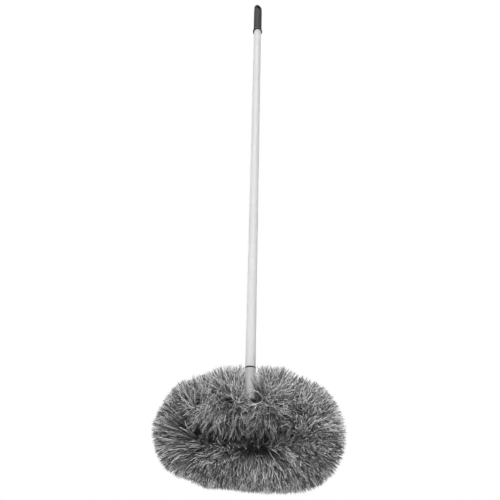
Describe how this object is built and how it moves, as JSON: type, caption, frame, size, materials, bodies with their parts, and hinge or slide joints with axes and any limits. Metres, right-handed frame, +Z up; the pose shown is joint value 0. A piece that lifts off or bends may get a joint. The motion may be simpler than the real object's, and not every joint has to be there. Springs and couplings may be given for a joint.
{
  "type": "ceiling fan duster",
  "caption": "Long-handled duster that hangs head down: a grip with a hang eyelet, a pole of screwed lengths and a wide flat loop of soft fibres on a bent wire core.",
  "frame": {"origin": "where a hook bears, at the top of the hang slot in the grip, on the pole's axis", "axes": "+Z up along the pole, the head below; +X along the width of the loop; -Y is the front"},
  "size_m": [0.3793, 0.1829, 1.4968],
  "materials": {
    "grip_plastic": "dark grey moulded plastic, fine matt grain",
    "pole_coat": "pale satin coated steel tube",
    "connector_plastic": "pale moulded plastic",
    "washer_plastic": "pale nylon",
    "ring_rubber": "black rubber",
    "socket_plastic": "light grey moulded plastic",
    "ferrule_metal": "crimped aluminium",
    "wire_steel": "galvanised wire",
    "fibre": "soft grey synthetic fibres, paler at the tips"
  },
  "bodies": {
    "handle": {"grip": "grip_plastic", "pole_section_1": "pole_coat", "male_connector_1": "connector_plastic"},
    "washer_1": {"joint_washer_1": "washer_plastic"},
    "section_2": {"pole_section_2": "pole_coat", "female_insert_2": "connector_plastic", "male_connector_2": "connector_plastic"},
    "washer_2": {"joint_washer_2": "washer_plastic"},
    "section_3": {"pole_section_3": "pole_coat", "female_insert_3": "connector_plastic", "male_connector_3": "connector_plastic"},
    "washer_3": {"joint_washer_3": "washer_plastic"},
    "section_4": {"pole_section_4": "pole_coat", "female_insert_4": "connector_plastic", "male_connector_4": "connector_plastic"},
    "neck_seal": {"neck_ring": "ring_rubber"},
    "head": {"head_socket": "socket_plastic", "wire_ferrule": "ferrule_metal", "socket_pin": "wire_steel", "core_wire": "wire_steel", "fibre_upper_left": "fibre", "fibre_upper_right": "fibre", "fibre_lower_left": "fibre", "fibre_lower_right": "fibre"}
  },
  "joints": [
    {"name": "screw_1_travel", "type": "slide", "parent": "handle", "child": "washer_1", "axis": [0, 0, -1], "range_m": [0, 0.018]},
    {"name": "screw_1_turn", "type": "hinge", "parent": "washer_1", "child": "section_2", "pos_m": [0, 0, -0.3025], "axis": [0, 0, -1], "range_deg": [0, 1081]},
    {"name": "screw_2_travel", "type": "slide", "parent": "section_2", "child": "washer_2", "axis": [0, 0, -1], "range_m": [0, 0.018]},
    {"name": "screw_2_turn", "type": "hinge", "parent": "washer_2", "child": "section_3", "pos_m": [0, 0, -0.615], "axis": [0, 0, -1], "range_deg": [0, 1081]},
    {"name": "screw_3_travel", "type": "slide", "parent": "section_3", "child": "washer_3", "axis": [0, 0, -1], "range_m": [0, 0.018]},
    {"name": "screw_3_turn", "type": "hinge", "parent": "washer_3", "child": "section_4", "pos_m": [0, 0, -0.9275], "axis": [0, 0, -1], "range_deg": [0, 1081]},
    {"name": "head_screw_travel", "type": "slide", "parent": "section_4", "child": "neck_seal", "axis": [0, 0, -1], "range_m": [0, 0.018]},
    {"name": "head_screw_turn", "type": "hinge", "parent": "neck_seal", "child": "head", "pos_m": [0, 0, -1.2403], "axis": [0, 0, -1], "range_deg": [0, 1081]}
  ],
  "couplings": [
    {"joint": "screw_1_turn", "follows": "screw_1_travel", "rad_per_m": 1047.2},
    {"joint": "screw_2_turn", "follows": "screw_2_travel", "rad_per_m": 1047.2},
    {"joint": "screw_3_turn", "follows": "screw_3_travel", "rad_per_m": 1047.2},
    {"joint": "head_screw_turn", "follows": "head_screw_travel", "rad_per_m": 1047.2}
  ]
}
